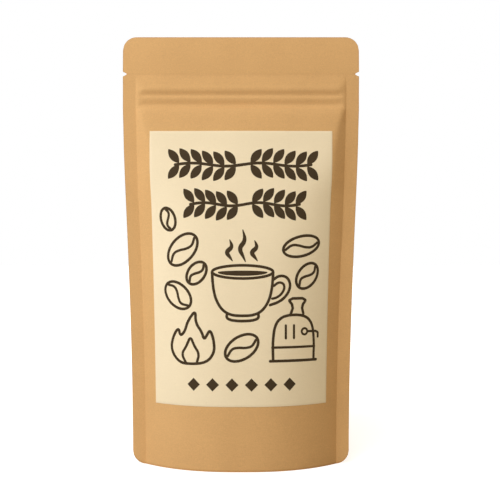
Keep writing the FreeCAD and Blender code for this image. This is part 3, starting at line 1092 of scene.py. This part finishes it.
# a solid pointed leaf, drawn round its middle
def leafShape(centre, length, width, degrees):
    vertices, faces = [], []
    rows = 14
    for k in range(rows + 1):
        share = k / rows
        half = width / 2 * math.sin(math.pi * share) ** 0.8 if 0 < k < rows else 0.02
        for j in (-1, -0.33, 0.33, 1):
            vertices.append(((share - 0.5) * length, half * j))
    for k in range(rows):
        for j in range(3):
            a = 4 * k + j
            faces.append((a, a + 4, a + 5, a + 1))
    placed = turned(vertices, centre, degrees)
    return layPrint(placed, orient(placed, faces))


def ellipse(centre, across, up, count):
    turns = [2 * math.pi * k / count for k in range(count)]
    return [(centre[0] + across * math.cos(turn), centre[1] + up * math.sin(turn)) for turn in turns]


# a coffee bean in outline, with a curved crease between its two halves
def drawBean(centre, length, width, degrees):
    outline = ellipse((0, 0), length / 2, width / 2, 28)
    drawLine(turned(outline, centre, degrees), closed=True, rounds=1)
    crease = [(-length * 0.44, width * 0.02), (-length * 0.24, width * 0.20), (-length * 0.05, width * 0.06),
              (length * 0.08, -width * 0.10), (length * 0.26, -width * 0.20), (length * 0.44, -width * 0.04)]
    drawLine(turned(crease, centre, degrees), width=printWork["line"] * 0.92)


beans = [
    ((-40.0, 100.0), 12.6, 8.2, 108), ((-31.8, 83.6), 20.5, 12.8, 47), ((-24.0, 71.0), 13.6, 9.2, 52),
    ((-34.6, 59.0), 17.6, 11.8, 138), ((33.0, 85.4), 21.0, 10.6, 14), ((36.4, 69.4), 15.6, 10.6, 50),
    ((0.4, 31.4), 19.5, 12.0, 32),
]
for centre, length, width, degrees in beans:
    drawBean(centre, length, width, degrees)


# a cup of coffee, drawn from the front, with three wisps of steam
def drawCup():
    rim = {"centre": (0.9, 71.7), "half": 16.4, "rise": 3.5}
    drawLine(ellipse(rim["centre"], rim["half"], rim["rise"], 40), closed=True, rounds=1)
    vertices, faces = [], []                      # the coffee's surface
    rows, across = 8, 30
    for k in range(rows + 1):
        for j in range(across + 1):
            x = -13.2 + 26.4 * j / across
            span = math.sqrt(max(0.0, 1 - (x / 13.6) ** 2))
            low, high = -1.9 * span, 0.9 * span
            vertices.append((rim["centre"][0] + x, rim["centre"][1] - 0.2 + low + (high - low) * k / rows))
    for k in range(rows):
        for j in range(across):
            a = k * (across + 1) + j
            faces.append((a, a + 1, a + across + 2, a + across + 1))
    layPrint(vertices, faces)
    bowl = [(-15.5, 71.5), (-15.0, 63.6), (-13.4, 56.6), (-9.8, 51.0), (-5.0, 48.6), (0.9, 48.3),
            (6.8, 48.6), (11.6, 51.0), (15.2, 56.6), (16.8, 63.6), (17.3, 71.5)]
    drawLine(bowl)
    foot = [(-7.4, 49.6), (-7.8, 47.0), (-4.4, 45.8), (0.9, 45.5), (6.2, 45.8), (9.6, 47.0), (9.2, 49.6)]
    drawLine(foot)
    handle = [(17.2, 67.4), (20.6, 69.8), (25.0, 69.0), (27.0, 64.6), (25.2, 59.6), (21.0, 55.8),
              (15.6, 54.0)]
    drawLine(handle)
    inner = [(17.6, 64.2), (20.2, 66.2), (22.8, 65.6), (23.6, 63.2), (22.2, 60.2), (19.4, 58.0), (16.8, 57.4)]
    drawLine(inner, width=printWork["line"] * 0.9)
    for x, low, high in ((-6.2, 77.6, 88.8), (0.8, 77.2, 94.2), (7.2, 77.6, 88.4)):
        rise = high - low
        wisp = [(x + 1.6, low), (x + 0.4, low + 0.16 * rise), (x - 1.9, low + 0.42 * rise),
                (x + 1.7, low + 0.66 * rise), (x + 0.2, high)]
        drawLine(wisp, width=printWork["line"] * 1.45,
                 taper=lambda share: 0.25 + 0.9 * math.sin(math.pi * share))


# an open flame, outer and inner tongue
def drawFlame():
    outer = [(-27.0, 22.4), (-34.0, 23.0), (-39.0, 29.4), (-37.8, 36.6), (-34.2, 42.0), (-33.4, 37.0),
             (-30.6, 39.6), (-29.0, 45.2), (-24.4, 51.4), (-24.6, 44.6), (-21.0, 39.6), (-19.8, 35.4),
             (-18.2, 38.2), (-16.4, 41.0), (-14.4, 35.0), (-14.2, 28.6), (-18.4, 23.4)]
    drawLine(outer, closed=True, rounds=2)
    inner = [(-30.0, 23.0), (-32.6, 27.6), (-29.6, 32.0), (-27.4, 37.4), (-25.4, 32.4), (-22.4, 28.0),
             (-23.8, 23.2)]
    drawLine(inner, rounds=2, width=printWork["line"] * 0.95)


# a hand mill: funnel, round housing, drawer line, foot and crank
def drawGrinder():
    body = [(17.2, 25.0), (17.0, 35.0), (18.4, 44.4), (23.6, 48.6), (34.4, 48.6), (39.6, 44.4), (41.0, 35.0),
            (40.8, 25.0)]
    drawLine(body, rounds=2)
    drawLine([(15.6, 24.2), (42.4, 24.2)], rounds=0)
    drawLine([(16.8, 31.4), (41.2, 31.4)], rounds=0, width=printWork["line"] * 0.85)
    funnel = [(27.0, 49.2), (28.4, 53.2), (25.2, 57.4), (36.4, 57.4), (33.2, 53.2), (34.2, 49.2)]
    drawLine(funnel, rounds=1)
    drawLine([(24.2, 43.0), (24.2, 36.2)], rounds=0, width=printWork["line"] * 0.85)
    drawLine([(28.8, 43.0), (28.8, 36.2)], rounds=0, width=printWork["line"] * 0.85)
    drawLine(ellipse((35.0, 39.6), 1.7, 1.7, 14), closed=True, rounds=1, width=printWork["line"] * 0.8)
    drawLine([(36.7, 39.6), (43.4, 39.6), (43.4, 36.4)], rounds=1, width=printWork["line"] * 0.85)


drawCup()
drawFlame()
drawGrinder()

sprigs = {
    # middle, height, length, leaf pairs, leaf length
    "rows": ((1.2, 129.6, 74, 12, 8.8), (2.2, 108.0, 59, 10, 8.6)),
    "stem": 1.6 * mm,
    "leafWidth": 4.6,
    "leafAngle": 52,         # degrees off the stem
    "wave": 0.9,
}


# a leafy sprig lying along a line, growing from its middle to both ends
def drawSprig(middle, height, length, pairs, leaf):
    stem = [(middle + length * (k / 24 - 0.5), height + sprigs["wave"] * math.sin(k / 24 * math.pi * 4))
            for k in range(25)]
    drawLine(stem, rounds=1, width=sprigs["stem"])
    for k in range(pairs):
        x = middle + length * ((k + 0.5) / pairs - 0.5)
        way = -1 if x < middle - 0.1 else 1
        wave = sprigs["wave"] * math.sin(((x - middle) / length + 0.5) * math.pi * 4)
        for side in (-1, 1):
            lean = side * sprigs["leafAngle"] if way > 0 else 180 - side * sprigs["leafAngle"]
            reach = leaf * 0.62
            centre = (x + way * reach * math.cos(math.radians(sprigs["leafAngle"])) + way * 0.6,
                      height + wave + side * reach * math.sin(math.radians(sprigs["leafAngle"])))
            leafShape(centre, leaf * 1.1, sprigs["leafWidth"], lean)


for row in sprigs["rows"]:
    drawSprig(*row)


# a row of small diamonds under the drawings
def drawDiamondRow(low, size, places):
    for x in places:
        vertices, faces = [], []
        for k in range(9):
            share = k / 8 * 2 - 1
            half = size / 2 * (1 - abs(share))
            for j in (-1, 0, 1):
                vertices.append((x + max(half, 0.02) * j, low + size / 2 + share * size / 2))
        for k in range(8):
            for j in range(2):
                a = 3 * k + j
                faces.append((a, a + 1, a + 4, a + 3))
        layPrint(vertices, orient(vertices, faces))


drawDiamondRow(8.2, 7.0, (-25.6, -15.2, -4.8, 5.6, 16.0, 26.4))
artwork = joinPieces(printLayers, "labelPrint")
setMaterials(artwork, printInk)
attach(artwork, "pouch")
print("print made")

stage = {
    "size": 6,
    "color": (0.50, 0.467, 0.41, 1),
    "glow": (0.74, 1.0),     # by the foot, which leaves a faint shadow, and far from it
    "reach": (0.12, 0.50),
    "room": (0.264, 0.192, 0.080, 1),
}
# name, place, target, size, power, colour
lamps = (
    ("frontLamp", (-0.60, -2.0, 2.3), (0, 0, 0.12), 1.2, 58, (0.96, 1.03, 1.18)),
    ("sideLamp", (-0.44, -0.235, 0.26), (0, 0, 0.08), 0.30, 1.15, (0.94, 1.06, 1.32)),
    ("backLamp", (0.9, 2.6, 1.9), (0, 0, 0.12), 1.6, 46, (1, 1, 1)),
)


def makeFloor():
    deselectAll()
    bpy.ops.mesh.primitive_plane_add(size=stage["size"], location=(0, 0, 0))
    floor = bpy.context.active_object
    floor.name = "floor"
    material, nodes, shader = newMaterial("paleFloor")
    shader.inputs["Base Color"].default_value = stage["color"]
    shader.inputs["Roughness"].default_value = 1.0
    shader.inputs["Specular IOR Level"].default_value = 0.0
    light = nodes.add("ShaderNodeLightPath")
    glow = nodes.math("MAXIMUM", light.outputs["Is Camera Ray"], light.outputs["Is Glossy Ray"])
    glow = nodes.math("MAXIMUM", glow, light.outputs["Is Transmission Ray"])
    shader.inputs["Emission Color"].default_value = (1, 1, 1, 1)
    place = nodes.add("ShaderNodeTexCoord")
    away = nodes.add("ShaderNodeVectorMath", operation="LENGTH")
    nodes.link(place.outputs["Object"], away.inputs[0])
    near = nodes.remap(away.outputs["Value"], *stage["reach"], *stage["glow"])
    nodes.link(nodes.math("MULTIPLY", glow, near), shader.inputs["Emission Strength"])
    setMaterials(floor, material)


def makeWorld():
    world = bpy.data.worlds.new("softRoom")
    bpy.context.scene.world = world
    world.use_nodes = True
    nodes = NodeTree(world.node_tree)
    background = world.node_tree.nodes["Background"]
    light = nodes.add("ShaderNodeLightPath")
    seen = nodes.math("MAXIMUM", light.outputs["Is Camera Ray"], light.outputs["Is Glossy Ray"])
    seen = nodes.math("MAXIMUM", seen, light.outputs["Is Transmission Ray"])
    nodes.link(nodes.mix(seen, stage["room"], (1, 1, 1, 1)), background.inputs["Color"])


def addLamp(name, place, target, size, power, color):
    bpy.ops.object.light_add(type="AREA", location=place)
    lamp = bpy.context.active_object
    lamp.name = name
    lamp.data.energy = power
    lamp.data.size = size
    lamp.data.color = color
    way = Vector(target) - Vector(place)
    lamp.rotation_euler = way.to_track_quat("-Z", "Y").to_euler()


makeFloor()
makeWorld()
for lamp in lamps:
    addLamp(*lamp)

bpy.context.scene.view_settings.view_transform = "Standard"
print("floor, room and lamps made")

for node, material in (("valve_body", valvePlastic), ("valve_cap", valvePlastic),
                       ("valve_disc", valveRubber), ("valve_filter", filterPaper)):
    setMaterials(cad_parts[node], material)
